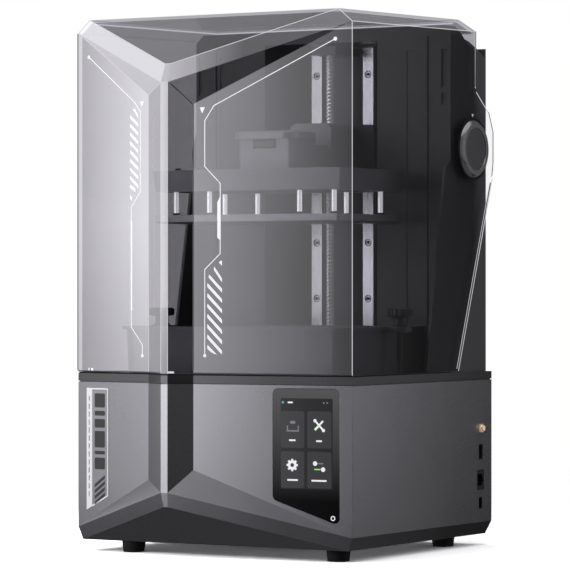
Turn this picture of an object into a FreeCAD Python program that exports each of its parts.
# Desktop vat-polymerisation printer: faceted base, tilting vat bed, Z tower and flip-up clear cover.
# Frame: millimetres, +Z up, origin on the floor under the middle of the footprint,
# front towards -Y, left towards -X.
# Every y in the sheet and in the code counts from the line through the two front corners;
# point() and place() turn it into the frame's y.
import FreeCAD, Part
import math
import os
import re

import Sketcher
from FreeCAD import Vector

os.makedirs("parts", exist_ok=True)
doc = FreeCAD.newDocument("resin_printer")
sheet = doc.addObject("Spreadsheet::Sheet", "Params")

# ---------------------------------------------------------------- driving dimensions
# Endings: _xa _ya _za low end and _xb _yb _zb high end, or two stations; _bot and _top heights;
# _x and _y of a centred part half sizes or places; _t thickness, _w width, _r radius.
TABLE = [
    # plan of the body: front corners, two folds and a raised rib between them
    ("body_w", 327.4), ("y_mid", 131.0), ("body_rear", 294.0), ("wall_t", 2.5),
    ("ridge_xa", -38.9), ("ridge_xb", -30.7), ("ridge_y", -35.0),
    ("fold_l_x", -69.8), ("fold_l_y", -10.4), ("fold_r_x", -10.2), ("fold_r_y", -18.9),
    # lower facets of the base
    ("base_bot", 11.4), ("base_bevel_z", 24.7), ("base_bevel_x", 158.6), ("base_bevel_y", 289.0),
    ("floor_front_y", 1.0), ("fold_l_low", 76.1), ("fold_r_low", 87.9), ("ridge_low", 65.0),
    ("prow_low", 50.5), ("prow_y", -33.2), ("prow_xa", -36.5), ("prow_xb", -31.7),
    # deck, its opening and the feet
    ("base_top", 174.2), ("trim_bot", 175.2), ("deck_z", 183.0), ("deck_t", 4.0),
    ("bay_x", 152.0), ("bay_ya", 26.0), ("bay_yb", 212.0),
    ("foot_h", 11.4), ("foot_r", 12.3), ("foot_rb", 11.0),
    # clear cover and its hinge
    ("cover_bot", 184.8), ("cover_t", 3.0), ("seal_t", 1.5), ("cover_shoulder", 534.0),
    ("cover_front_z", 547.0), ("cover_front_x", 148.5), ("cover_rear_z", 552.0),
    ("cover_rear_x", 150.0), ("cover_rear_y", 245.0), ("cover_lip_y", 257.6), ("cover_lip_z", 540.0),
    ("ridge_top", 478.0), ("fold_l_top", 467.3), ("fold_r_top", 455.9), ("prow_top", 496.5),
    ("hinge_y", 251.4), ("hinge_z", 416.4), ("pin_r", 5.0), ("pin_gap", 0.05), ("cap_r", 33.0),
    # tower
    ("tower_x", 157.0), ("cheek_foot_y", 163.0), ("cheek_top_y", 205.0), ("tower_chamfer", 9.0),
    ("tower_y", 215.0), ("tower_top", 545.0), ("tower_wall", 3.0),
    ("bay_half", 69.5), ("bay_top", 528.0), ("bay_front_top", 531.0), ("rear_cover_t", 3.0),
    # Z drive
    ("rail_x", 31.9), ("rail_w", 12.8), ("rail_ya", 261.0), ("rail_yb", 269.0),
    ("rail_za", 190.0), ("rail_zb", 528.0), ("rail_hole_z", 199.5), ("rail_pitch", 60.0),
    ("plate_t", 6.0), ("screw_y", 234.5), ("screw_r", 4.5), ("screw_za", 172.0), ("screw_zb", 518.0),
    ("motor_w", 42.3), ("motor_len", 48.0), ("motor_top", 165.1),
    # carriage plate, arm head and tongue
    ("carr_ya", 247.0), ("carr_yb", 255.5), ("carr_za", 385.0), ("carr_zb", 445.0), ("carr_x", 47.0),
    ("head_x", 25.3), ("head_y", 194.0), ("arm_za", 396.0), ("tongue_x", 21.0), ("tongue_y", 118.0),
    ("tongue_za", 400.0), ("tongue_zb", 421.0),
    # build platform
    ("clamp_x", 32.5), ("clamp_y", 101.0), ("clamp_len", 52.0), ("clamp_za", 393.0),
    ("clamp_zb", 425.2), ("cap_x", 38.0), ("cap_t", 8.3),
    ("vat_cy", 128.5), ("plat_x", 112.0), ("plat_y", 65.0), ("plate_za", 338.0), ("plate_zb", 346.5),
    ("frame_za", 371.0), ("frame_zb", 393.0),
    ("post_xa", 54.5), ("post_xb", 95.5), ("post_y", 47.5), ("post_r", 2.6),
    # vat, film and exposure screen
    ("vat_x", 134.0), ("vat_ya", 35.5), ("vat_yb", 204.0), ("vat_top", 231.3), ("vat_bot", 182.8),
    ("vat_wall", 4.0), ("rim_w", 4.5), ("rim_t", 3.2), ("film_z", 186.6), ("film_t", 0.2),
    ("lcd_top", 186.3), ("lcd_t", 3.3), ("lcd_x", 116.0), ("lcd_y", 64.0),
    # tilting bed and thumb knobs
    ("bed_x", 149.5), ("bed_ya", 28.0), ("bed_yb", 210.0), ("bed_za", 177.0), ("bed_zb", 182.8),
    ("tilt_y", 206.0), ("tilt_z", 166.0), ("tilt_r", 4.0), ("knob_origin_z", 180.0),
    ("knob_x", 145.0), ("knob_r", 13.4), ("knob_za", 242.0), ("knob_zb", 250.0), ("knob_shaft", 3.0),
    # display glass (s runs along the right front face) and side sockets
    ("glass_sa", 88.7), ("glass_sb", 160.9), ("glass_zt", 171.0), ("glass_zl", 61.1),
    ("glass_zr", 36.6), ("port_y", 269.5), ("sma_z", 123.5), ("usb_z", 98.5), ("lan_z", 69.0),
    ("usbc_z", 44.8),
]


class Dimensions:
    """The values of the sheet, read as attributes by alias."""


dim = Dimensions()
vars(dim).update(TABLE)
for row, (alias, value) in enumerate(TABLE, 1):
    sheet.set("A%d" % row, alias)
    sheet.set("B%d" % row, repr(value))
    sheet.setAlias("B%d" % row, alias)
doc.recompute()

HALF_W = dim.body_w / 2
BACK_Y = dim.body_rear
VAT_Y = dim.vat_cy
DECK_UNDER = dim.deck_z - dim.deck_t
FLOOR_Z = dim.base_bot + dim.wall_t  # inside face of the base floor
FLOOR_TOP = FLOOR_Z + 1.5  # top of the floor plate
SIDES = (-1, 1)  # left, right
X_AXIS, Y_AXIS, Z_AXIS = Vector(1, 0, 0), Vector(0, 1, 0), Vector(0, 0, 1)


# ---------------------------------------------------------------- parametric features
def from_sheet(text):
    """Aliases in an expression become references to the sheet."""
    return re.sub(
        "[a-z][a-z_]*",
        lambda m: "Params." + m.group(0) if m.group(0) in vars(dim) else m.group(0),
        text,
    )


def bind(obj, prop, text):
    obj.setExpression(prop, from_sheet(text))


def place(obj, x, y, z):
    bind(obj, "Placement.Base.x", x)
    bind(obj, "Placement.Base.y", "(%s)-y_mid" % y)
    bind(obj, "Placement.Base.z", z)


def box(xa, xb, ya, yb, za, zb):
    """A box between two corners, each given as an expression on the sheet."""
    obj = doc.addObject("Part::Box", "box")
    bind(obj, "Length", "(%s)-(%s)" % (xb, xa))
    bind(obj, "Width", "(%s)-(%s)" % (yb, ya))
    bind(obj, "Height", "(%s)-(%s)" % (zb, za))
    place(obj, xa, ya, za)
    return obj


def cylinder(radius, height, x, y, z):
    """An upright cylinder, given as expressions on the sheet."""
    obj = doc.addObject("Part::Cylinder", "cylinder")
    bind(obj, "Radius", radius)
    bind(obj, "Height", height)
    place(obj, x, y, z)
    return obj


def cut(base, tool):
    obj = doc.addObject("Part::Cut", "cut")
    obj.Base, obj.Tool = base, tool
    return obj


def fuse(*members):
    obj = doc.addObject("Part::MultiFuse", "fuse")
    obj.Shapes = list(members)
    return obj


def fillet(base, radius, test, kind="Part::Fillet"):
    """Rounds (or chamfers) the edges that pass the test."""
    doc.recompute()
    found = [i for i, edge in enumerate(base.Shape.Edges, 1) if test(edge)]
    obj = doc.addObject(kind, "fillet")
    obj.Base = base
    obj.Edges = [(i, radius, radius) for i in found]
    return obj


# ---------------------------------------------------------------- edge tests
def runs_along(edge, axis):
    """True for an edge over 1 mm long whose two ends lie on a line parallel to the axis."""
    if len(edge.Vertexes) != 2:
        return False
    span = edge.Vertexes[1].Point - edge.Vertexes[0].Point
    return span.Length > 1 and abs(abs(span.normalize() * axis) - 1) < 1e-6


def vertical(edge):
    return runs_along(edge, Z_AXIS)


def lies_at(edge, z):
    return all(abs(vertex.Point.z - z) < 0.01 for vertex in edge.Vertexes)


# ---------------------------------------------------------------- plain shapes
def point(x, y, z):
    return Vector(x, y - dim.y_mid, z)


def slab(xa, xb, ya, yb, za, zb):
    return Part.makeBox(xb - xa, yb - ya, zb - za, point(xa, ya, za))


def side_slab(side, xa, xb, ya, yb, za, zb):
    """A slab between two distances from the middle plane, on one side."""
    low, high = sorted((side * xa, side * xb))
    return slab(low, high, ya, yb, za, zb)


def vat_slab(half_x, half_y, za, zb):
    """A slab centred on the upright axis through the vat."""
    return slab(-half_x, half_x, VAT_Y - half_y, VAT_Y + half_y, za, zb)


def rod(radius, length, x, y, z, axis=Z_AXIS):
    return Part.makeCylinder(radius, length, point(x, y, z), axis)


def side_rod(side, xa, xb, y, z, radius):
    """A rod parallel to X between two distances from the middle plane, on one side."""
    low, high = sorted((side * xa, side * xb))
    return rod(radius, high - low, low, y, z, X_AXIS)


def hinge_rod(side, xa, xb, radius):
    return side_rod(side, xa, xb, dim.hinge_y, dim.hinge_z, radius)


def extruded(points, sweep):
    return Part.Face(Part.makePolygon(points + [points[0]])).extrude(sweep)


def across(outline, x, width):
    """A (y, z) outline at x, extruded sideways by width."""
    return extruded([point(x, y, z) for y, z in outline], Vector(width, 0, 0))


def rounded(solid, radius, axis):
    return solid.makeFillet(radius, [e for e in solid.Edges if runs_along(e, axis)])


def frustum(half_xa, half_ya, half_xb, half_yb, za, zb, mid_y):
    """A block whose rectangle changes from half sizes a at za to half sizes b at zb."""
    rings = []
    for half_x, half_y, z in ((half_xa, half_ya, za), (half_xb, half_yb, zb)):
        corners = ((-1, -1), (1, -1), (1, 1), (-1, 1), (-1, -1))
        rings.append(Part.makePolygon([point(i * half_x, mid_y + j * half_y, z) for i, j in corners]))
    return Part.makeLoft(rings, True, True)


# ---------------------------------------------------------------- nodes
nodes = []


def add_node(made, label):
    """Registers a document object, or wraps a shape in one, under its label."""
    if isinstance(made, Part.Shape):
        shape = made
        made = doc.addObject("Part::Feature", label)
        made.Shape = shape
    made.Label = label
    nodes.append(made)


def piece(make):
    """Decorator: builds the node that carries the function's name."""
    add_node(make(), make.__name__)
    return make


# ---------------------------------------------------------------- faceted solids
# Corners are a dictionary of points; faces are a dictionary of corner loops.
def unit_normal(points):
    normal = Vector()
    for here, there in zip(points, points[1:] + points[:1]):
        normal = normal + here.cross(there)
    return normal.normalize()


def average(points):
    total = Vector()
    for corner in points:
        total = total + corner
    return total / len(points)


def facets(corners, faces):
    """The points of each face, ordered so that its normal points out."""
    centre = average(corners.values())
    found = {}
    for face, keys in faces.items():
        loop = [corners[key] for key in keys]
        faces_out = unit_normal(loop) * (average(loop) - centre) > 0
        found[face] = loop if faces_out else loop[::-1]
    return found


def faceted_solid(corners, faces):
    """A solid from flat faces; a loop that isn't flat is split into a fan of triangles."""
    made = []
    for loop in facets(corners, faces).values():
        normal = unit_normal(loop)
        if max(abs((corner - loop[0]) * normal) for corner in loop) < 1e-6:
            made.append(Part.Face(Part.makePolygon(loop + [loop[0]])))
        else:
            for i in range(1, len(loop) - 1):
                made.append(Part.Face(Part.makePolygon([loop[0], loop[i], loop[i + 1], loop[0]])))
    shell = Part.makeShell(made)
    shell.sewShape()
    solid = Part.makeSolid(shell)
    if solid.Volume < 0:
        solid.reverse()
    return solid


def shrink(corners, faces, inset, special):
    """The corners after every face moves in by inset, or by special[face].

    Each corner goes to the least-squares meeting point of its planes: the normal equations,
    solved by Cramer's rule.
    """
    loops = facets(corners, faces)
    moved = {}
    for key, corner in corners.items():
        columns = [Vector(), Vector(), Vector()]
        target = Vector()
        for face, keys in faces.items():
            if key in keys:
                normal = unit_normal(loops[face])
                reach = normal * corner - special.get(face, inset)
                columns = [column + normal * part for column, part in zip(columns, normal)]
                target = target + normal * reach
        first, second, third = columns
        determinant = first * second.cross(third)
        moved[key] = Vector(
            target * second.cross(third),
            first * target.cross(third),
            first * second.cross(target),
        ) / determinant
    return moved


def plan(z):
    """Front outline at height z: L, R front corners, C, D left and right folds, Bl, Br rib edges."""
    return {
        "L": point(-HALF_W, 0, z), "C": point(dim.fold_l_x, dim.fold_l_y, z),
        "Bl": point(dim.ridge_xa, dim.ridge_y, z), "Br": point(dim.ridge_xb, dim.ridge_y, z),
        "D": point(dim.fold_r_x, dim.fold_r_y, z), "R": point(HALF_W, 0, z),
    }


def plan_prism(inset, za, zb, y_end, rear_inset):
    """Upright prism over the plan outline moved in by inset, closed at y_end."""
    bottom = plan(za)
    bottom["E"] = point(HALF_W, y_end, za)
    bottom["F"] = point(-HALF_W, y_end, za)
    loop = list(bottom)
    corners, faces = {}, {}
    for key, corner in bottom.items():
        corners[key] = corner
        corners[key + "t"] = corner + Vector(0, 0, zb - za)
    for i, j in zip(loop, loop[1:] + loop[:1]):
        faces[i + j] = [i, j, j + "t", i + "t"]
    faces["lo"] = loop
    faces["hi"] = [key + "t" for key in loop]
    special = {"lo": 0.0, "hi": 0.0, "EF": rear_inset}
    return faceted_solid(shrink(corners, faces, inset, special), faces)


# ---------------------------------------------------------------- the two main front faces
def front_face(start, end):
    """Foot of the face's left end, its direction to the right and its outward normal."""
    along = (end - start).normalize()
    return start, along, Vector(along.y, -along.x, 0)


LEFT_FACE = front_face(point(-HALF_W, 0, 0), point(dim.fold_l_x, dim.fold_l_y, 0))
RIGHT_FACE = front_face(point(dim.fold_r_x, dim.fold_r_y, 0), point(HALF_W, 0, 0))


def face_prism(face, outline, depth_a, depth_b):
    """A prism over an (s, z) outline on the face, between two depths along its outward normal."""
    start, along, normal = face
    points = [start + along * s + normal * depth_a + Vector(0, 0, z) for s, z in outline]
    return extruded(points, normal * (depth_b - depth_a))


def face_block(sa, sb, za, zb, depth_a, depth_b):
    """A rectangular block on the right front face."""
    return face_prism(RIGHT_FACE, [(sa, za), (sb, za), (sb, zb), (sa, zb)], depth_a, depth_b)


GLASS = [  # (s, z)
    (dim.glass_sa, dim.glass_zt), (dim.glass_sb, dim.glass_zt),
    (dim.glass_sb, dim.glass_zr), (dim.glass_sa, dim.glass_zl),
]
GLASS_CORNER_R = 5.0
GLASS_GAP = 0.35


def glass_window():
    """Cutter for the glass opening, larger than the glass by the gap all round."""
    mid_s = sum(s for s, z in GLASS) / len(GLASS)
    mid_z = sum(z for s, z in GLASS) / len(GLASS)
    outline = [
        (s + math.copysign(GLASS_GAP, s - mid_s), z + math.copysign(GLASS_GAP, z - mid_z))
        for s, z in GLASS
    ]
    return rounded(face_prism(RIGHT_FACE, outline, -4.0, 3.0), GLASS_CORNER_R + 0.3, RIGHT_FACE[2])


@piece
def display_glass():
    return rounded(face_prism(RIGHT_FACE, GLASS, -2.2, 0.4), GLASS_CORNER_R, RIGHT_FACE[2])


@piece
def display_module():
    """Display panel behind the glass, and its board with three blocks on the back."""
    panel = face_block(93, 157, 66, 168, -7.4, -2.3)
    board_back = -9.2
    board = face_block(95, 155, 70, 165, board_back, -7.6)
    # blocks: s, z, width, height
    for s, z, width, height in ((100, 90, 14, 14), (125, 84, 18, 6), (108, 130, 30, 8)):
        board = board.fuse(face_block(s, s + width, z, z + height, -11.0, board_back))
    return Part.makeCompound([panel, board])


@piece
def label_plate():
    """Plain plate on the left front face."""
    outline = [(11.7, 168.0), (40.9, 168.0), (40.9, 57.3), (11.7, 42.2)]
    return face_prism(LEFT_FACE, outline, 0.0, 0.35)


# ---------------------------------------------------------------- base shell
def socket_block(depth_a, depth_b, half_y, z, half_z):
    """A block at the sockets' y, between two depths in from the right wall's outer face."""
    return slab(HALF_W - depth_a, HALF_W - depth_b,
                dim.port_y - half_y, dim.port_y + half_y, z - half_z, z + half_z)


def base_skins():
    """Outer and inner solids of the base.

    Corners: upper case at the top, lower case at the lower ends of the same upright edges,
    RR, RL the back; al, ar the prow below the rib; f, h, rb, lb the floor, from front left round.
    """
    floor_x, floor_front, floor_back = dim.base_bevel_x, dim.floor_front_y, dim.base_bevel_y
    top_z, bevel_z, floor_z = dim.base_top, dim.base_bevel_z, dim.base_bot
    corners = plan(top_z)
    corners.update({
        "RR": point(HALF_W, BACK_Y, top_z), "RL": point(-HALF_W, BACK_Y, top_z),
        "l": point(-HALF_W, 0, bevel_z), "c": point(dim.fold_l_x, dim.fold_l_y, dim.fold_l_low),
        "bl": point(dim.ridge_xa, dim.ridge_y, dim.ridge_low),
        "br": point(dim.ridge_xb, dim.ridge_y, dim.ridge_low),
        "d": point(dim.fold_r_x, dim.fold_r_y, dim.fold_r_low), "r": point(HALF_W, 0, bevel_z),
        "rr": point(HALF_W, BACK_Y, bevel_z), "rl": point(-HALF_W, BACK_Y, bevel_z),
        "al": point(dim.prow_xa, dim.prow_y, dim.prow_low),
        "ar": point(dim.prow_xb, dim.prow_y, dim.prow_low),
        "h": point(floor_x, floor_front, floor_z), "f": point(-floor_x, floor_front, floor_z),
        "rb": point(floor_x, floor_back, floor_z), "lb": point(-floor_x, floor_back, floor_z),
    })
    faces = {
        "top": ["L", "C", "Bl", "Br", "D", "R", "RR", "RL"],
        "main_l": ["L", "C", "c", "l"], "steep_l": ["C", "Bl", "bl", "c"],
        "strip": ["Bl", "Br", "br", "bl"],
        "steep_r": ["Br", "D", "d", "br"], "main_r": ["D", "R", "r", "d"],
        "right": ["R", "RR", "rr", "r"], "left": ["L", "RL", "rl", "l"],
        "rear": ["RR", "RL", "rl", "rr"],
        "tri_r": ["br", "d", "r"], "tri_l": ["bl", "c", "l"],
        "band_r": ["br", "r", "h", "ar"], "band_l": ["bl", "l", "f", "al"],
        "band_s": ["bl", "br", "ar", "al"],
        "under": ["al", "ar", "h", "f"], "floor": ["f", "h", "rb", "lb"],
        "bev_r": ["r", "rr", "rb", "h"], "bev_l": ["l", "rl", "lb", "f"],
        "bev_b": ["rr", "rl", "lb", "rb"],
    }
    # the inner solid rises past the top, which leaves the shell open
    inner = shrink(corners, faces, dim.wall_t, {"top": -4.0})
    return faceted_solid(corners, faces), faceted_solid(inner, faces)


@piece
def base_shell():
    outer, inner = base_skins()
    shell = outer.cut(inner)
    shell = shell.cut(glass_window())
    # floor opening
    shell = shell.cut(slab(-118, 118, 44, 270, 0, 30))
    # side sockets: z, half width in y, half height
    shell = shell.cut(rod(4.2, 8, HALF_W - 5, dim.port_y, dim.sma_z, X_AXIS))
    for z, half_y, half_z in ((dim.usb_z, 4.6, 7.9), (dim.lan_z, 8.4, 10.6), (dim.usbc_z, 4.2, 6.4)):
        shell = shell.cut(socket_block(5, -1, half_y, z, half_z))
    # rear inlet and rocker
    shell = shell.cut(slab(-136, -108, BACK_Y - 5, BACK_Y + 1, 46, 66))
    shell = shell.cut(slab(-99.2, -77.8, BACK_Y - 5, BACK_Y + 1, 48.4, 63.6))
    # rear vents
    for row in range(9):
        for col in range(3):
            z = 52 + row * 10
            x = 34 + col * 34
            shell = shell.cut(slab(x, x + 28, BACK_Y - 6, BACK_Y + 1, z, z + 4))
    return shell


# ---------------------------------------------------------------- deck trim and seal
@piece
def deck_trim():
    outline = list(plan(dim.trim_bot).values())
    outline += [point(HALF_W, BACK_Y, dim.trim_bot), point(-HALF_W, BACK_Y, dim.trim_bot)]
    deck = extruded(outline, Vector(0, 0, dim.deck_z - dim.trim_bot))
    wall = 3.0
    hollow = [  # (x, y)
        (-HALF_W + wall, 4), (-60, 0), (-36, -28), (-33, -28), (-14, -13), (HALF_W - wall, 4),
        (HALF_W - wall, BACK_Y - wall), (-HALF_W + wall, BACK_Y - wall),
    ]
    deck = deck.cut(extruded([point(x, y, 0) for x, y in hollow], Vector(0, 0, DECK_UNDER)))
    # lip round the opening for the bed
    lip = 3.0
    deck = deck.fuse(slab(-dim.bay_x - lip, dim.bay_x + lip, dim.bay_ya - lip, dim.bay_yb + lip,
                          dim.trim_bot - 1.6, dim.deck_z))
    deck = deck.cut(slab(-dim.bay_x, dim.bay_x, dim.bay_ya, dim.bay_yb, 100, 200))
    deck = deck.cut(rod(12.5, 60, 0, dim.screw_y, 150))
    # narrow neck that stands on the base wall and leaves a shadow line
    outer_inset, inner_inset = 1.2, 4.2
    neck = plan_prism(outer_inset, dim.base_top, dim.trim_bot + 0.5, BACK_Y, outer_inset)
    neck = neck.cut(
        plan_prism(inner_inset, dim.base_top - 1, dim.trim_bot + 1, BACK_Y, inner_inset))
    return deck.fuse(neck).removeSplitter()


@piece
def cover_seal():
    """Rubber strip under the cover's front and sides, open at the back."""
    end_y = 205.0
    bottom, top = dim.deck_z, dim.deck_z + dim.seal_t
    seal = plan_prism(0.6, bottom, top, end_y, -4.0)
    seal = seal.cut(plan_prism(2.6, bottom - 1, top + 1, end_y, -8.0))
    return seal.cut(slab(-HALF_W - 5, HALF_W + 5, end_y, 260.0, 150, 250))


# ---------------------------------------------------------------- clear cover
def cover_skins():
    """Outer and inner solids of the cover, both running back past its rear edge.

    Corners: 0 marks the bottom rim; E, G shoulders; C, D tops of the folds; Bl, Br top of the rib;
    Al, Ar prow; F, H front of the roof; Lu, Ru its back; Ll, Rl lip below it; Lb, Rb far back.
    """
    rim = plan(dim.cover_bot)
    far_y = 312
    prow_y = dim.ridge_y + 2.2
    front_y = -1
    shoulder, lip_y, lip_z = dim.cover_shoulder, dim.cover_lip_y, dim.cover_lip_z
    front_x, front_z = dim.cover_front_x, dim.cover_front_z
    rear_x, rear_y, rear_z = dim.cover_rear_x, dim.cover_rear_y, dim.cover_rear_z
    corners = {key.lower() + "0": corner for key, corner in rim.items()}
    corners.update({
        "rr0": point(HALF_W, far_y, dim.cover_bot), "rl0": point(-HALF_W, far_y, dim.cover_bot),
        "E": point(-HALF_W, 0, shoulder), "G": point(HALF_W, 0, shoulder),
        "C": point(dim.fold_l_x, dim.fold_l_y, dim.fold_l_top),
        "D": point(dim.fold_r_x, dim.fold_r_y, dim.fold_r_top),
        "Bl": point(dim.ridge_xa, dim.ridge_y, dim.ridge_top),
        "Br": point(dim.ridge_xb, dim.ridge_y, dim.ridge_top),
        "Al": point(-34.8, prow_y, dim.prow_top), "Ar": point(-28.4, prow_y, dim.prow_top),
        "F": point(-front_x, front_y, front_z), "H": point(front_x, front_y, front_z),
        "Ru": point(rear_x, rear_y, rear_z), "Lu": point(-rear_x, rear_y, rear_z),
        "Rl": point(HALF_W, lip_y, lip_z), "Ll": point(-HALF_W, lip_y, lip_z),
        "Rb": point(HALF_W, far_y, lip_z), "Lb": point(-HALF_W, far_y, lip_z),
    })
    faces = {
        "bot": ["l0", "c0", "bl0", "br0", "d0", "r0", "rr0", "rl0"],
        "main_l": ["l0", "c0", "C", "E"], "steep_l": ["c0", "bl0", "Bl", "C"],
        "strip": ["bl0", "br0", "Br", "Bl"],
        "steep_r": ["br0", "d0", "D", "Br"], "main_r": ["d0", "r0", "G", "D"],
        "right": ["r0", "rr0", "Rb", "Rl", "G"], "left": ["l0", "rl0", "Lb", "Ll", "E"],
        "rear": ["rr0", "rl0", "Lb", "Rb"],
        "tri_r": ["Br", "D", "G"], "tri_l": ["Bl", "C", "E"],
        "band_r": ["Br", "G", "H", "Ar"], "band_l": ["Bl", "E", "F", "Al"],
        "band_s": ["Bl", "Br", "Ar", "Al"], "prow": ["Al", "Ar", "H", "F"],
        "roof": ["F", "H", "Ru", "Lu"],
        "bev_ra": ["G", "H", "Ru"], "bev_rb": ["G", "Ru", "Rl"],
        "bev_la": ["E", "F", "Lu"], "bev_lb": ["E", "Lu", "Ll"],
        "lip": ["Ru", "Lu", "Ll", "Rl"], "back": ["Rl", "Ll", "Lb", "Rb"],
    }
    inner = shrink(corners, faces, dim.cover_t, {"bot": -6.0, "rear": -6.0})
    return faceted_solid(corners, faces), faceted_solid(inner, faces)


def side_outline():
    """The cover seen from the side: slant up from the deck, rounded ear at the hinge, upright."""
    ear_y, ear_za, ear_zb, notch_z = 297.0, 390.0, 448.5, 478.0
    outline = [  # (y, z)
        (-80, 150), (207.3, 150), (220.3, dim.cover_bot), (ear_y, ear_za), (ear_y, ear_zb),
        (dim.cover_lip_y, notch_z), (dim.cover_lip_y, 600), (-80, 600),
    ]
    solid = across(outline, -HALF_W - 10, 2 * HALF_W + 20)
    # corners to round: y, z, radius
    for y, z, radius in ((ear_y, ear_zb, 26), (ear_y, ear_za, 25), (dim.cover_lip_y, notch_z, 5)):
        found = []
        for edge in solid.Edges:
            corner = edge.Vertexes[0].Point - point(0, y, z)
            if runs_along(edge, X_AXIS) and abs(corner.y) < 0.01 and abs(corner.z) < 0.01:
                found.append(edge)
        solid = solid.makeFillet(radius, found)
    return solid


@piece
def clear_cover():
    outer, inner = cover_skins()
    cover = outer.cut(inner)
    inside = HALF_W - dim.cover_t
    cover = cover.cut(slab(-inside, inside, dim.cover_lip_y, 330, 150, 600))
    cover = cover.common(side_outline())
    # hinge hole, and room for the hub inside the wall
    for side in SIDES:
        cover = cover.cut(hinge_rod(side, HALF_W - 7, HALF_W + 5, 17.0))
        cover = cover.cut(hinge_rod(side, inside - 10, inside, 27.2))
    return cover


# ---------------------------------------------------------------- hinge
# Hubs clamp the cover wall and turn on steel pins held in the tower.
RING_T = 1.0
CAP_SEAT_X = HALF_W + 2.6  # bottom of the recess in the hinge cover


@piece
def hinge_hubs():
    """Inner hubs and, outside the wall, flat rings."""
    inside = HALF_W - dim.cover_t
    hubs, rings = [], []
    for side in SIDES:
        hub = hinge_rod(side, 158.9, inside, 27).fuse(hinge_rod(side, inside, HALF_W + 0.6, 16.9))
        hubs.append(hub.cut(hinge_rod(side, 150, HALF_W - 0.5, dim.pin_r + dim.pin_gap)))
        ring = hinge_rod(side, HALF_W, HALF_W + RING_T, dim.cap_r)
        rings.append(ring.cut(hinge_rod(side, HALF_W - 1, HALF_W + 2, 17.2)))
    return Part.makeCompound(hubs + rings)


@piece
def hinge_covers():
    """Conical covers with a round recess, on the rings."""
    covers = []
    for side in SIDES:
        start = point(side * (HALF_W + RING_T), dim.hinge_y, dim.hinge_z)
        cone = Part.makeCone(30.2, 27.2, 3.6, start, Vector(side, 0, 0))
        cone = cone.cut(hinge_rod(side, CAP_SEAT_X, HALF_W + 6, 22.5))
        covers.append(cone.fuse(hinge_rod(side, HALF_W + 0.6, HALF_W + 1.2, 16.0)))
    return Part.makeCompound(covers)


@piece
def hinge_caps():
    return Part.makeCompound(
        [hinge_rod(side, CAP_SEAT_X, CAP_SEAT_X + 1.1, 22.0) for side in SIDES])


@piece
def hinge_pins():
    head_x = 146.0
    pins = []
    for side in SIDES:
        pin = hinge_rod(side, head_x, HALF_W - 1.0, dim.pin_r)
        pins.append(pin.fuse(hinge_rod(side, head_x - 2, head_x, 8.0)))
    return Part.makeCompound(pins)


@piece
def hinge_blocks():
    half = 22
    front = dim.tower_y + dim.tower_wall + 0.2
    blocks = []
    for side in SIDES:
        block = side_slab(side, 146.2, 153.8, front, dim.hinge_y + half,
                          dim.hinge_z - half, dim.hinge_z + half)
        blocks.append(block.cut(hinge_rod(side, 140, 160, dim.pin_r + 0.02)))
    return Part.makeCompound(blocks)


# ---------------------------------------------------------------- tower
@piece
def tower_shell():
    front, wall, outer_x = dim.tower_y, dim.tower_wall, dim.tower_x
    back, bay, below = BACK_Y - dim.rear_cover_t, dim.bay_half, dim.deck_z - 1
    profile = [  # (y, z)
        (front, dim.deck_z), (back, dim.deck_z), (back, 524.1), (272, 531), (257, 534.2),
        (243, dim.tower_top), (front, dim.tower_top),
    ]
    tower = across(profile, -outer_x, 2 * outer_x)

    def on_top_side(edge):
        first, last = edge.Vertexes[0].Point, edge.Vertexes[-1].Point
        at_side = abs(abs(first.x) - outer_x) < 0.01 and abs(last.x - first.x) < 0.01
        return at_side and min(first.z, last.z) > 523

    tower = tower.makeChamfer(dim.tower_chamfer, [e for e in tower.Edges if on_top_side(e)])
    # side cheeks reach forward, further at the foot
    cheek = [  # (y, z)
        (front + 2, dim.deck_z), (dim.cheek_foot_y, dim.deck_z), (dim.cheek_top_y, 396),
        (214.9, 402), (front + 2, 402),
    ]
    for side in SIDES:
        tower = tower.fuse(across(cheek, side * outer_x, -side * 3.2))
    # side cavities, open at the back
    for side in SIDES:
        tower = tower.cut(
            side_slab(side, bay + wall, outer_x - wall, front + wall, BACK_Y, below, 521.0))
    # middle bay for the Z drive, in three depths
    for ya, yb, top in (
        (front - 1, 257.5, dim.bay_front_top),
        (257.0, dim.rail_yb, dim.bay_top + 1.0),
        (dim.rail_yb - 0.5, BACK_Y, dim.bay_top - 6),
    ):
        tower = tower.cut(slab(-bay, bay, ya, yb, below, top))
    # front relief on each side, an upright groove and three panels: x, x, z, z, depth
    relief = (
        (129.5, 132, 188, 534, 1.6), (146.5, 153.5, 480, 520, 1.6),
        (146.5, 153.5, 462, 474, 1.6), (105, 126, 200, 520, 0.9),
    )
    for side in SIDES:
        for xa, xb, za, zb, depth in relief:
            tower = tower.cut(side_slab(side, xa, xb, front - 1, front + depth, za, zb))
        # hole for the hinge pin
        tower = tower.cut(hinge_rod(side, 153.0, 161.0, 9.0))
    return tower.removeSplitter()


@piece
def tower_rear_cover():
    cover = slab(-dim.tower_x, dim.tower_x, BACK_Y - dim.rear_cover_t, BACK_Y, dim.deck_z, 524.0)
    for i in range(14):
        z = 300 + i * 11
        for side in SIDES:
            cover = cover.cut(side_slab(side, 84, 140, BACK_Y - 4, BACK_Y + 1, z, z + 4.5))
    return cover


# ---------------------------------------------------------------- sketched bodies
def origin_feature(body, role):
    return [f for f in body.Origin.OriginFeatures if f.Role == role][0]


def sketch_on(body, role, label):
    sketch = body.newObject("Sketcher::SketchObject", label)
    sketch.AttachmentSupport = [(origin_feature(body, role), "")]
    sketch.MapMode = "FlatFace"
    return sketch


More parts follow.
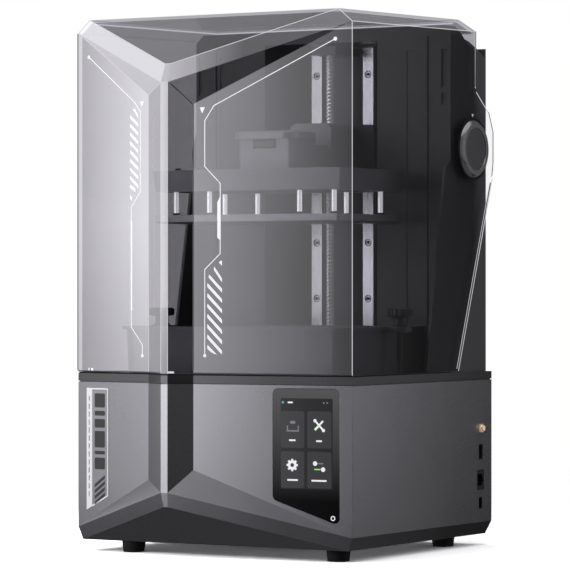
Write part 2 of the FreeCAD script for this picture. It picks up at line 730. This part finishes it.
def draw_loop(sketch, outline):
    """Closed polygon whose lines are joined end to end."""
    for (xa, ya), (xb, yb) in zip(outline, outline[1:] + outline[:1]):
        sketch.addGeometry(Part.LineSegment(Vector(xa, ya, 0), Vector(xb, yb, 0)), False)
    count = len(outline)
    for i in range(count):
        sketch.addConstraint(Sketcher.Constraint("Coincident", i, 2, (i + 1) % count, 1))


def drive(sketch, constraint, text):
    """Adds a constraint whose value follows the sheet."""
    index = sketch.addConstraint(constraint)
    bind(sketch, "Constraints[%d]" % index, text)


# ---------------------------------------------------------------- Z drive
@piece
def z_back_plate():
    return box("-bay_half+0.5", "bay_half-0.5", "rail_yb", "rail_yb+plate_t",
               "deck_z+0.5", "bay_top-6.5")


def make_rail(side, label):
    """Linear guide rail: a padded bar with a row of counterbored holes."""
    body = doc.addObject("PartDesign::Body", label)
    section = sketch_on(body, "XY_Plane", label + "_section")
    width, height = dim.rail_w, dim.rail_yb - dim.rail_ya
    notch = 1.1
    draw_loop(section, [
        (0, 0), (width, 0), (width, 2.2), (width - notch, 3.3), (width - notch, 5.0),
        (width, 6.1), (width, height), (0, height), (0, 6.1), (notch, 5.0), (notch, 3.3), (0, 2.2),
    ])
    section.addConstraint(Sketcher.Constraint("Coincident", 0, 1, -1, 1))
    section.addConstraint(Sketcher.Constraint("Horizontal", 0))
    drive(section, Sketcher.Constraint("DistanceX", 0, 1, 0, 2, width), "rail_w")
    for i in (1, 5, 7, 11):
        section.addConstraint(Sketcher.Constraint("Vertical", i))
    section.addConstraint(Sketcher.Constraint("Horizontal", 6))
    bar = body.newObject("PartDesign::Pad", label + "_bar")
    bar.Profile = section
    bind(bar, "Length", "rail_zb-rail_za")
    doc.recompute()

    hole = sketch_on(body, "XZ_Plane", label + "_hole")
    hole_r, hole_z = 3.75, dim.rail_hole_z - dim.rail_za
    hole.addGeometry(Part.Circle(Vector(width / 2, hole_z, 0), Z_AXIS, hole_r), False)
    hole.addConstraint(Sketcher.Constraint("Radius", 0, hole_r))
    drive(hole, Sketcher.Constraint("DistanceX", -1, 1, 0, 3, width / 2), "rail_w/2")
    drive(hole, Sketcher.Constraint("DistanceY", -1, 1, 0, 3, hole_z), "rail_hole_z-rail_za")
    before = bar.Shape.Volume
    pocket = body.newObject("PartDesign::Pocket", label + "_counterbore")
    pocket.Profile = hole
    pocket.Length = 4.6
    doc.recompute()
    # a pocket that runs away from the bar is turned round
    if pocket.Shape.Volume > before - 1:
        pocket.Reversed = True
        doc.recompute()
    assert pocket.Shape.Volume < before - 1

    pattern = body.newObject("PartDesign::LinearPattern", label + "_row")
    pattern.Originals = [pocket]
    pattern.Direction = (origin_feature(body, "Z_Axis"), [""])
    bind(pattern, "Length", "rail_pitch*5")
    pattern.Occurrences = 6
    body.Tip = pattern
    doc.recompute()
    place(body, "%d*rail_x-rail_w/2" % side, "rail_ya", "rail_za")
    return body


add_node(make_rail(-1, "z_rail_left"), "z_rail_left")
add_node(make_rail(1, "z_rail_right"), "z_rail_right")


@piece
def rail_screws():
    """Socket-head screws in the rail's counterbores, facing the front."""
    seat_y, head_len = dim.rail_ya + 4.5, 3.6
    heads = []
    for side in SIDES:
        for i in range(6):
            x, z = side * dim.rail_x, dim.rail_hole_z + i * dim.rail_pitch
            head = rod(3.4, head_len, x, seat_y, z, -Y_AXIS)
            heads.append(head.cut(rod(1.6, 2.2, x, seat_y - head_len, z, Y_AXIS)))
    return Part.makeCompound(heads)


@piece
def rail_blocks():
    blocks = []
    for side in SIDES:
        x = side * dim.rail_x
        block = slab(x - 13.5, x + 13.5, dim.carr_yb, 267.4, 392, 438)
        blocks.append(block.cut(slab(x - 6.65, x + 6.65, dim.rail_ya - 0.25, 268, 380, 450)))
    return Part.makeCompound(blocks)


@piece
def carriage_plate():
    plate = box("-carr_x", "carr_x", "carr_ya", "carr_yb", "carr_za", "carr_zb")
    return fillet(plate, 5.0, lambda e: runs_along(e, Y_AXIS))


@piece
def carriage_arm():
    head = box("-head_x", "head_x", "head_y", "carr_ya", "arm_za", "carr_zb")
    head = fillet(head, 8.0, lambda e: runs_along(e, Y_AXIS) and e.Vertexes[0].Point.z > 440)
    tongue = box("-tongue_x", "tongue_x", "tongue_y", "head_y+1", "tongue_za", "tongue_zb")
    return cut(fuse(head, tongue), cylinder("6.4", "80", "0", "screw_y", "380"))


@piece
def screw_nut():
    flange = cylinder("11", "4", "0", "screw_y", "arm_za-4")
    sleeve = cylinder("6.3", "22", "0", "screw_y", "arm_za-0.5")
    return cut(fuse(flange, sleeve), cylinder("screw_r+0.25", "60", "0", "screw_y", "380"))


@piece
def lead_screw():
    """Screw with a stub into the top block and a thinner shaft into the motor."""
    low, high = dim.screw_za, dim.screw_zb
    shaft_len = 40
    screw = rod(dim.screw_r, high - low, 0, dim.screw_y, low)
    screw = screw.fuse(rod(3.0, 9.5, 0, dim.screw_y, high))
    return screw.fuse(rod(2.5, shaft_len, 0, dim.screw_y, low - shaft_len))


@piece
def screw_top_block():
    block = slab(-16, 16, dim.screw_y - 13, dim.rail_yb, 519.0, 528.0)
    block = block.cut(rod(3.05, 20, 0, dim.screw_y, 515))

    def front_corner(edge):
        start = edge.Vertexes[0].Point
        return vertical(edge) and abs(start.x) > 10 and start.y < 120

    return block.makeFillet(2.0, [e for e in block.Edges if front_corner(e)])


@piece
def z_motor():
    """Square stepper with chamfered corners, recessed waist, pilot boss and shaft hole."""
    half, length, top = dim.motor_w / 2, dim.motor_len, dim.motor_top

    def square(half_w, za, zb):
        return slab(-half_w, half_w, dim.screw_y - half_w, dim.screw_y + half_w, za, zb)

    motor = square(half, top - length, top)
    motor = motor.makeChamfer(4.0, [e for e in motor.Edges if vertical(e)])
    waist_za, waist_zb = top - length * 0.75, top - length * 0.25
    waist = square(half + 1, waist_za, waist_zb).cut(square(half - 0.7, waist_za, waist_zb))
    motor = motor.cut(waist)
    motor = motor.fuse(rod(11, 2, 0, dim.screw_y, top))
    return motor.cut(rod(2.55, length, 0, dim.screw_y, top - length + 12))


# ---------------------------------------------------------------- build platform
@piece
def platform_clamp():
    clamp = box("-clamp_x", "clamp_x", "clamp_y", "clamp_y+clamp_len", "clamp_za", "clamp_zb")
    clamp = fillet(clamp, 4.0, vertical)
    # slot for the arm's tongue, then the pocket for the latch button
    clamp = cut(clamp, box("-tongue_x-0.3", "tongue_x+0.3", "tongue_y-2", "clamp_y+clamp_len+1",
                           "tongue_za-0.3", "tongue_zb+0.3"))
    return cut(clamp, box("-13.9", "13.9", "clamp_y-1", "clamp_y+6", "415.3", "424.7"))


@piece
def platform_clamp_cap():
    cap = box("-cap_x", "cap_x", "clamp_y-6", "clamp_y+clamp_len-2", "clamp_zb", "clamp_zb+cap_t")
    cap = fillet(cap, 14.0, vertical)
    return fillet(cap, 3.0, lambda e: lies_at(e, dim.clamp_zb + dim.cap_t))


@piece
def latch_button():
    button = box("-13.6", "13.6", "clamp_y-0.8", "clamp_y+2.4", "415.6", "424.4")
    front = dim.clamp_y - dim.y_mid
    return fillet(button, 1.2, lambda e: all(vertex.Point.y < front for vertex in e.Vertexes))


POSTS = [  # (x, y)
    (side * x, VAT_Y + end * dim.post_y)
    for side in SIDES for x in (dim.post_xa, dim.post_xb) for end in (-1, 1)
]


@piece
def platform_frame():
    half_x, half_y, low, high = dim.plat_x, dim.plat_y, dim.frame_za, dim.frame_zb
    frame = frustum(half_x - 1.4, half_y - 1.4, half_x + 1.2, half_y + 1.2, low, high, VAT_Y)
    frame = frame.cut(vat_slab(half_x - 5, half_y - 5, low + 3, high - 4))
    frame = frame.cut(vat_slab(half_x - 12, half_y - 12, low - 1, low + 4))
    for x, y in POSTS:
        frame = frame.fuse(rod(6.0, high - low - 1, x, y, low))
        frame = frame.cut(rod(dim.post_r, 16, x, y, low - 1))
    return frame.removeSplitter()


@piece
def platform_posts():
    return Part.makeCompound([rod(dim.post_r, 34, x, y, 349.0) for x, y in POSTS])


@piece
def platform_fasteners():
    """Round nuts on the build plate and socket screws on top of the frame."""
    nuts = [rod(3.9, 2.5, x, y, dim.plate_zb) for x, y in POSTS]
    screws = []
    for side in SIDES:
        for y in (VAT_Y - 50, VAT_Y + 50):
            screw = rod(3.0, 2.6, side * 92, y, dim.frame_zb)
            screws.append(screw.cut(rod(1.5, 2, side * 92, y, dim.frame_zb + 1.2)))
    return Part.makeCompound(nuts + screws)


@piece
def build_plate():
    plate = box("-plat_x", "plat_x", "vat_cy-plat_y", "vat_cy+plat_y", "plate_za", "plate_zb")
    plate = fillet(plate, 4.0, vertical)
    return fillet(plate, 1.6, lambda e: lies_at(e, dim.plate_za), "Part::Chamfer")


# ---------------------------------------------------------------- tilting bed
@piece
def tilt_bed():
    bed = slab(-dim.bed_x, dim.bed_x, dim.bed_ya, dim.bed_yb, dim.bed_za, dim.bed_zb)
    bed = bed.cut(vat_slab(110, 60, 170, 190))
    for side in SIDES:
        # knob hole, then a lug with the hole for the tilt shaft
        bed = bed.cut(rod(1.95, 20, side * dim.knob_x, VAT_Y, 170))
        bed = bed.fuse(side_slab(side, 118, 126, dim.tilt_y - 10, dim.bed_yb - 1,
                                 dim.tilt_z - 8, dim.bed_za + 1))
        bed = bed.cut(side_rod(side, 114, 130, dim.tilt_y, dim.tilt_z, dim.tilt_r + 0.05))
    # pad above the cam
    bed = bed.fuse(slab(74, 96, 32, 52, 173.4, dim.bed_za + 1))
    return bed.removeSplitter()


@piece
def tilt_shaft():
    return rod(dim.tilt_r, 264, -132, dim.tilt_y, dim.tilt_z, X_AXIS)


@piece
def tilt_hangers():
    """Brackets that hang the tilt shaft from the deck."""
    xa, xb, ya, yb = 127, 135, 216.5, 224
    hangers = []
    for side in SIDES:
        foot = side_slab(side, xa, xb, dim.tilt_y - 9, yb, dim.tilt_z - 9, dim.tilt_z + 6)
        hanger = foot.fuse(side_slab(side, xa, xb, ya, yb, dim.tilt_z, DECK_UNDER))
        hangers.append(
            hanger.cut(side_rod(side, xa - 10, xb + 10, dim.tilt_y, dim.tilt_z, dim.tilt_r)))
    return Part.makeCompound(hangers)


@piece
def exposure_screen():
    return vat_slab(dim.lcd_x, dim.lcd_y, dim.lcd_top - dim.lcd_t, dim.lcd_top)


# ---------------------------------------------------------------- vat
FILM_X, FILM_Y = 125.6, 71.0  # half sizes of the film and its frame


def rounded_frustum(half_xa, half_ya, half_xb, half_yb, za, zb, mid_y, radius):
    """A frustum with its four sloping corner edges rounded."""
    solid = frustum(half_xa, half_ya, half_xb, half_yb, za, zb, mid_y)
    slopes = [
        e for e in solid.Edges
        if len(e.Vertexes) == 2 and abs(e.Vertexes[0].Point.z - e.Vertexes[1].Point.z) > 5
    ]
    return solid.makeFillet(radius, slopes)


@piece
def resin_vat():
    half_x, ya, yb, top = dim.vat_x, dim.vat_ya, dim.vat_yb, dim.vat_top
    mid_y, half_y = (ya + yb) / 2, (yb - ya) / 2
    draft = 1.4  # the foot is this much smaller all round
    wall, rim = dim.vat_wall, dim.rim_w
    inner_r = 10.5
    vat = rounded_frustum(half_x - draft, half_y - draft, half_x, half_y,
                          dim.vat_bot, top, mid_y, 14)
    flange = slab(-half_x - rim, half_x + rim, ya - rim, yb + rim, top - dim.rim_t, top)
    vat = vat.fuse(rounded(flange, 18.0, Z_AXIS))
    # side ears with holes for the thumb knobs
    for side in SIDES:
        ear = side_slab(side, half_x - 2, 157.0, VAT_Y - 13, VAT_Y + 13, top - 5.5, top)
        tips = [e for e in ear.Edges if vertical(e) and abs(e.Vertexes[0].Point.x) > 150]
        vat = vat.fuse(ear.makeFillet(11.0, tips))
        vat = vat.cut(rod(dim.knob_shaft + 0.3, 20, side * dim.knob_x, VAT_Y, top - 12))
    inner = rounded_frustum(half_x - draft - wall, half_y - draft - wall, half_x - wall,
                            half_y - wall, 190.5, top + 0.001, mid_y, inner_r)
    mouth = slab(-half_x + wall, half_x - wall, ya + wall, yb - wall, top - 0.5, top + 5)
    inner = inner.fuse(rounded(mouth, inner_r, Z_AXIS))
    vat = vat.cut(inner)
    # window in the floor and the recess for the film below it
    vat = vat.cut(vat_slab(119, 67, 170, 200))
    vat = vat.cut(vat_slab(FILM_X + 0.4, FILM_Y + 0.4, 170, dim.film_z + dim.film_t + 0.01))
    return vat.removeSplitter()


@piece
def release_film():
    return vat_slab(FILM_X, FILM_Y, dim.film_z, dim.film_z + dim.film_t)


@piece
def film_frame():
    frame = vat_slab(FILM_X, FILM_Y, dim.vat_bot + 0.2, dim.film_z)
    frame = frame.cut(vat_slab(118, 66, 150, 200))
    for i in range(9):
        for end in (-1, 1):
            frame = frame.cut(rod(1.3, 10, -112 + 28 * i, VAT_Y + end * 68.6, 180))
    return frame


def make_knob(side, label):
    """Thumb screw turned as one piece, with flutes cut round its grip."""
    body = doc.addObject("PartDesign::Body", label)
    sketch = sketch_on(body, "XZ_Plane", label + "_profile")
    foot, seat, low, high = 178.0, dim.vat_top + 0.1, dim.knob_za, dim.knob_zb
    grip_r, shaft_r = dim.knob_r, dim.knob_shaft
    profile = [  # (radius, z)
        (0, foot), (1.9, foot), (1.9, 197), (shaft_r, 199), (shaft_r, seat), (9.0, seat),
        (9.0, seat + 1.5), (7.0, seat + 2.3), (7.0, low - 1), (grip_r - 1.2, low),
        (grip_r, low + 1), (grip_r, high - 1.5), (grip_r - 1.8, high), (0, high),
    ]
    draw_loop(sketch, [(radius, z - dim.knob_origin_z) for radius, z in profile])
    sketch.addConstraint(Sketcher.Constraint("PointOnObject", 0, 1, -2))
    turned = body.newObject("PartDesign::Revolution", label + "_turned")
    turned.Profile = sketch
    turned.ReferenceAxis = (sketch, ["V_Axis"])
    turned.Angle = 360
    doc.recompute()

    flute = sketch_on(body, "XY_Plane", label + "_flute")
    flute_x, flute_r = grip_r + 0.9, 2.0
    flute.addGeometry(Part.Circle(Vector(flute_x, 0, 0), Z_AXIS, flute_r), False)
    flute.addConstraint(Sketcher.Constraint("Radius", 0, flute_r))
    drive(flute, Sketcher.Constraint("DistanceX", -1, 1, 0, 3, flute_x), "knob_r+0.9")
    before = turned.Shape.Volume
    pocket = body.newObject("PartDesign::Pocket", label + "_flute_cut")
    pocket.Profile = flute
    pocket.Type = 1  # through all
    pocket.Midplane = True
    doc.recompute()
    # if the two-way cut misses the grip, it is run one way, upwards
    if not pocket.Shape.Volume < before - 1:
        pocket.Midplane = False
        pocket.Reversed = True
        doc.recompute()
    assert pocket.Shape.Volume < before - 1

    pattern = body.newObject("PartDesign::PolarPattern", label + "_flutes")
    pattern.Originals = [pocket]
    pattern.Axis = (origin_feature(body, "Z_Axis"), [""])
    pattern.Angle = 360
    pattern.Occurrences = 16
    body.Tip = pattern
    doc.recompute()
    place(body, "%d*knob_x" % side, "vat_cy", "knob_origin_z")
    return body


add_node(make_knob(-1, "thumb_knob_left"), "thumb_knob_left")
add_node(make_knob(1, "thumb_knob_right"), "thumb_knob_right")

# ---------------------------------------------------------------- tilt drive
# Small motor on its side, with an eccentric under the bed.
CAM_X, CAM_Y, CAM_Z = 85.0, 42.0, 150.0
CAM_THROW = 3.6


def cam_rod(radius, length, offset_x, offset_y=0.0, offset_z=0.0):
    """A rod parallel to X, placed from the cam's centre of rotation."""
    return rod(radius, length, CAM_X + offset_x, CAM_Y + offset_y, CAM_Z + offset_z, X_AXIS)


@piece
def tilt_cam():
    """Eccentric disc with five holes, and its shaft."""
    shaft_r = 2.5
    hole_circle_r = 11
    cam = cam_rod(18.8, 10, -5, 0, CAM_THROW).cut(cam_rod(shaft_r, 20, -10))
    for degrees in range(150, 391, 60):
        angle = math.radians(degrees)
        y, z = hole_circle_r * math.cos(angle), hole_circle_r * math.sin(angle) + 1.0
        cam = cam.cut(cam_rod(3.2, 20, -10, y, z))
    return Part.makeCompound([cam, cam_rod(shaft_r, 34, -26)])


@piece
def tilt_motor():
    half = 14
    motor = slab(CAM_X - 40, CAM_X - 12, CAM_Y - half, CAM_Y + half, CAM_Z - half, CAM_Z + half)
    motor = motor.makeChamfer(3.5, [e for e in motor.Edges if runs_along(e, X_AXIS)])
    return motor.cut(cam_rod(2.55, 40, -30))


@piece
def motor_brackets():
    """Plate over the Z motor hung from the deck, and a stepped bracket for the tilt motor."""
    plate_za = dim.motor_top
    plate_zb = plate_za + 3
    lift = slab(-34, 34, 212.6, 264, plate_za, plate_zb).cut(rod(11.3, 20, 0, dim.screw_y, 155))
    for side in SIDES:
        lift = lift.fuse(side_slab(side, 31, 34, 216, 264, plate_zb, DECK_UNDER))

    def sheet_part(xa, xb, za, zb):
        return slab(CAM_X + xa, CAM_X + xb, CAM_Y - 18, CAM_Y + 18, za, zb)

    tilt = sheet_part(-12, -9.6, 120.2, 163).cut(cam_rod(3.5, 40, -30))
    tilt = tilt.fuse(sheet_part(-12, 13, 120.2, 122.6))
    tilt = tilt.fuse(sheet_part(10.6, 13, FLOOR_TOP, 121))
    return Part.makeCompound([lift, tilt])


# ---------------------------------------------------------------- light engine under the bed
SINK_X, SINK_Y = 62, 52  # half sizes of the heat sink and of the hood's foot
FAN_T = 25
ENGINE_FAN_Z = 31.0
ENGINE_FAN_TOP = ENGINE_FAN_Z + FAN_T


@piece
def light_hood():
    wall = 2.5
    outer = frustum(SINK_X, SINK_Y, 108, 62, 92, 156, VAT_Y)
    return outer.cut(
        frustum(SINK_X - wall, SINK_Y - wall, 108 - wall, 62 - wall, 91.9, 156.1, VAT_Y))


@piece
def collimating_lens():
    return vat_slab(104, 58, 156.1, 159.3)


@piece
def led_board():
    board_top = 91.6
    size, pitch = 4, 12
    board = vat_slab(58, 46, 89.6, board_top)
    for i in range(9):
        for j in range(7):
            x, y = -50 + pitch * i, VAT_Y - 38 + pitch * j
            board = board.fuse(slab(x, x + size, y, y + size, board_top, board_top + 1.8))
    return board


@piece
def heat_sink():
    sink = vat_slab(SINK_X, SINK_Y, 82, 89.5)
    for i in range(16):
        x = -60 + 8 * i
        sink = sink.fuse(slab(x, x + 1.8, VAT_Y - SINK_Y, VAT_Y + SINK_Y, ENGINE_FAN_TOP, 82.5))
    return sink


# ---------------------------------------------------------------- fans
# Each is built along +Z about the origin, then moved to its place.
ENGINE_FAN = (92, Vector(0, VAT_Y, ENGINE_FAN_Z), False)  # size, place, turned to face back
EXHAUST_FAN = (80, Vector(82, BACK_Y - dim.wall_t - FAN_T, 95), True)
HUB_RATIO = 0.42  # hub radius over half the fan's size


def set_fan(shape, fan):
    _, spot, turned = fan
    if turned:
        shape.rotate(Vector(), X_AXIS, -90)
    shape.translate(point(spot.x, spot.y, spot.z))
    return shape


def fan_frame(fan):
    """Square frame with four spokes, corner holes and a shaft hole."""
    size = fan[0]
    half = size / 2
    floor_t = 3
    frame = Part.makeBox(size, size, FAN_T, Vector(-half, -half, 0))
    frame = frame.makeFillet(4, [e for e in frame.Edges if vertical(e)])
    frame = frame.cut(Part.makeCylinder(half - 2, FAN_T - floor_t, Vector(0, 0, floor_t)))
    opening = Part.makeCylinder(half - 2, floor_t)
    frame = frame.cut(opening.cut(Part.makeCylinder(half * HUB_RATIO, floor_t)))
    for k in range(4):
        spoke = Part.makeBox(half - 1, 3.6, 2.2, Vector(0, -1.8, 0))
        spoke.rotate(Vector(), Z_AXIS, 45 + 90 * k)
        frame = frame.fuse(spoke)
    hole = half - 4.3
    for i in (-1, 1):
        for j in (-1, 1):
            corner = Vector(i * hole, j * hole, -1)
            frame = frame.cut(Part.makeCylinder(2.1, FAN_T + 2, corner))
    frame = frame.cut(Part.makeCylinder(2.55, 4, Vector(0, 0, -0.5)))
    return set_fan(frame, fan)


def fan_rotor(fan):
    """Hub with a shaft stub and seven pitched blades."""
    half = fan[0] / 2
    hub_r = half * HUB_RATIO
    blade_h = FAN_T - 8
    rotor = Part.makeCylinder(hub_r, FAN_T - 5.5, Vector(0, 0, 4.0))
    rotor = rotor.fuse(Part.makeCylinder(2.5, 3.6, Vector(0, 0, 0.8)))
    for k in range(7):
        blade = Part.makeBox(half - 4.0 - hub_r + 2, 1.6, blade_h, Vector(hub_r - 2, 0, 0))
        blade.rotate(Vector(hub_r, 0, blade_h / 2), X_AXIS, 38)
        blade.translate(Vector(0, 0, 5.0))
        blade = blade.common(Part.makeCylinder(half - 3.2, FAN_T - 6.0, Vector(0, 0, 4.2)))
        blade.rotate(Vector(), Z_AXIS, 360.0 / 7 * k)
        rotor = rotor.fuse(blade)
    return set_fan(rotor, fan)


@piece
def engine_fan_rotor():
    return fan_rotor(ENGINE_FAN)


@piece
def fan_frames():
    return Part.makeCompound([fan_frame(ENGINE_FAN), fan_frame(EXHAUST_FAN)])


@piece
def exhaust_fan_rotor():
    return fan_rotor(EXHAUST_FAN)


# ---------------------------------------------------------------- floor plate and electronics
@piece
def floor_plate():
    """Plate with a grid of holes under the fan and four standoffs."""
    plate = slab(-150, 150, 18, 283, FLOOR_Z, FLOOR_TOP)
    for i in range(11):
        for j in range(9):
            plate = plate.cut(rod(2.6, 6, -40 + 8 * i, VAT_Y - 32 + 8 * j, 11))
    for y in (VAT_Y - 49, VAT_Y + 49):
        for x in (-54, 54):
            plate = plate.fuse(rod(4, ENGINE_FAN_TOP - FLOOR_Z, x, y, FLOOR_Z))
    return plate


@piece
def circuit_boards():
    """Main board on standoffs with its components, and the upright board behind the sockets."""
    board_z = FLOOR_TOP + 6
    board_top = board_z + 1.6
    components = (  # x, y, size in x, size in y, height
        (80, 90, 22, 22, 2), (110, 96, 14, 14, 1.4), (76, 130, 12, 16, 6),
        (96, 134, 16, 16, 9), (120, 140, 14, 14, 9), (76, 160, 50, 9, 9),
        (136, 80, 8, 40, 7), (136, 140, 8, 40, 7), (80, 178, 44, 10, 6),
    )
    board = slab(66, 148, 70, 200, board_z, board_top)
    for x, y, size_x, size_y, height in components:
        board = board.fuse(slab(x, x + size_x, y, y + size_y, board_top, board_top + height))
    for y in (74, 196):
        for x in (70, 144):
            board = board.fuse(rod(3, 6.05, x, y, FLOOR_TOP))
    socket_board = slab(HALF_W - 23.6, HALF_W - 22, 258, 284, 30, 135)
    return Part.makeCompound([board, socket_board])


@piece
def power_supply():
    supply = slab(-148, -64, 100, 250, FLOOR_TOP, 54)
    supply = supply.makeFillet(1.5, [e for e in supply.Edges if lies_at(e, 54)])
    for i in range(12):
        x = -140 + 6.4 * i
        supply = supply.cut(slab(x, x + 3, 120, 230, 52.5, 55))
    return supply


# ---------------------------------------------------------------- sockets
@piece
def antenna_socket():
    """Threaded barrel with a hexagon nut and a centre pin."""
    nut_r, bore_r, pin_r = 5.0, 2.2, 0.5

    def barrel(radius, start, length):
        return rod(radius, length, HALF_W + start, dim.port_y, dim.sma_z, X_AXIS)

    socket = barrel(3.1, -6, 10).cut(barrel(bore_r, 1, 8))
    socket = socket.fuse(barrel(pin_r, 0, 5))
    hexagon = []
    for k in range(6):
        angle = math.radians(60 * k)
        hexagon.append(point(HALF_W, dim.port_y + nut_r * math.cos(angle),
                             dim.sma_z + nut_r * math.sin(angle)))
    socket = socket.fuse(extruded(hexagon, Vector(1.8, 0, 0)).cut(barrel(2.0, -1, 8)))
    return socket.cut(barrel(bore_r, 2.0, 8).cut(barrel(pin_r, 1.5, 9)))


@piece
def data_sockets():
    port_y, usb_z, lan_z, usbc_z = dim.port_y, dim.usb_z, dim.lan_z, dim.usbc_z
    # the tall one at the top, with a tongue off centre
    usb = socket_block(22, 0.4, 3.4, usb_z, 7.3).cut(socket_block(13, 0, 2.7, usb_z, 6.6))
    usb = usb.fuse(slab(HALF_W - 14, HALF_W - 3, port_y - 2.2, port_y - 0.4,
                        usb_z - 5.6, usb_z + 5.6))
    # network socket: main opening and the narrower one behind it
    lan = socket_block(22, 0.3, 8.2, lan_z, 10.4)
    for ya, yb, half_z in ((-6.6, 3.4, 6.2), (3.4, 6.0, 3.2)):
        lan = lan.cut(slab(HALF_W - 14, HALF_W, port_y + ya, port_y + yb,
                           lan_z - half_z, lan_z + half_z))
    # the small one at the bottom, with a tongue in the middle
    usbc = socket_block(22, 0.4, 4.0, usbc_z, 6.2).cut(socket_block(10, 0, 3.0, usbc_z, 5.2))
    usbc = usbc.fuse(socket_block(12, 3.4, 0.8, usbc_z, 3.6))
    return Part.makeCompound([usb, usbc, lan])


@piece
def power_inlet():
    """Inlet with three contacts, joined to the bezel of the rocker switch."""
    def behind(xa, xb, depth_a, depth_b, za, zb):
        """A block between two depths in from the back face."""
        return slab(xa, xb, BACK_Y - depth_a, BACK_Y - depth_b, za, zb)

    inlet = behind(-139, -105, 0, -1.8, 43, 69).fuse(behind(-135.7, -108.3, 18, 0, 46.3, 65.7))
    inlet = inlet.cut(behind(-133, -111, 14, -2, 49, 63))
    for x, z in ((-127, 57.5), (-117, 57.5), (-122, 53.5)):
        inlet = inlet.fuse(behind(x - 1, x + 1, 15, 3, z - 2, z + 2))
    bezel = behind(-105.5, -76, 0, -1.8, 43, 69).fuse(behind(-98.9, -78.1, 16, 0, 48.7, 63.3))
    bezel = bezel.cut(behind(-96.9, -80.1, 13, -2, 50.3, 61.7))
    return inlet.fuse(bezel)


@piece
def power_rocker():
    """Rocker with a shallow V face, tipped about its upright axis."""
    low_z, height = 50.7, 10.6
    outline = [(-7.9, -0.6), (-7.9, 1.4), (0, 0.5), (7.9, 1.4), (7.9, -0.6), (0, -6.5)]  # (x, y)
    rocker = extruded([Vector(x, y, low_z) for x, y in outline], Vector(0, 0, height))
    rocker.rotate(Vector(), Z_AXIS, -8)
    rocker.translate(point(-88.5, BACK_Y - 1.0, 0))
    return rocker


# ---------------------------------------------------------------- feet and cables
@piece
def rubber_feet():
    places = ((137.5, 18), (134, 241), (-104, 14), (-134, 241))  # (x, y)
    return Part.makeCompound(
        [Part.makeCone(dim.foot_rb, dim.foot_r, dim.foot_h, point(x, y, 0)) for x, y in places])


def cable(radius, stations):
    """A round cable swept along a smooth curve through (x, y, z) stations."""
    curve = Part.BSplineCurve()
    curve.interpolate([point(*station) for station in stations])
    tangent = curve.tangent(curve.FirstParameter)[0]
    circle = Part.Wire(Part.makeCircle(radius, point(*stations[0]), tangent))
    return Part.Wire(curve.toShape()).makePipeShell([circle], True, True)


@piece
def cable_loom():
    """Cables from power supply to main board, from inlet to power supply, from Z motor to board."""
    return Part.makeCompound([
        cable(2.6, [(-90, 97.0, 34), (-88, 84, 35), (-60, 63, 36), (0, 56, 38), (60, 62, 35),
                    (92, 68, 30), (100, 78, 29)]),
        cable(2.6, [(-122, 272.5, 56), (-123, 266, 53), (-126, 259, 47), (-127, 253.2, 43)]),
        cable(2.0, [(24.0, 234.5, 132), (48, 226, 110), (80, 205, 62), (98, 190.5, 42),
                    (104, 182, 33)]),
    ])


# ---------------------------------------------------------------- checks and export
doc.recompute()
bad = [obj.Name for obj in doc.Objects if "Invalid" in obj.State or "Error" in obj.State]
assert not bad, "failed objects: %s" % bad
assert len(set(obj.Label for obj in nodes)) == len(nodes), "a label is used twice"
for obj in nodes:
    assert not obj.Shape.isNull(), obj.Label + " is null"
    assert obj.Shape.isValid(), obj.Label + " is not valid"
    assert len(obj.Shape.Solids) >= 1, obj.Label + " holds no solid"
for obj in nodes:
    obj.Shape.exportStep("parts/%s.step" % obj.Label)
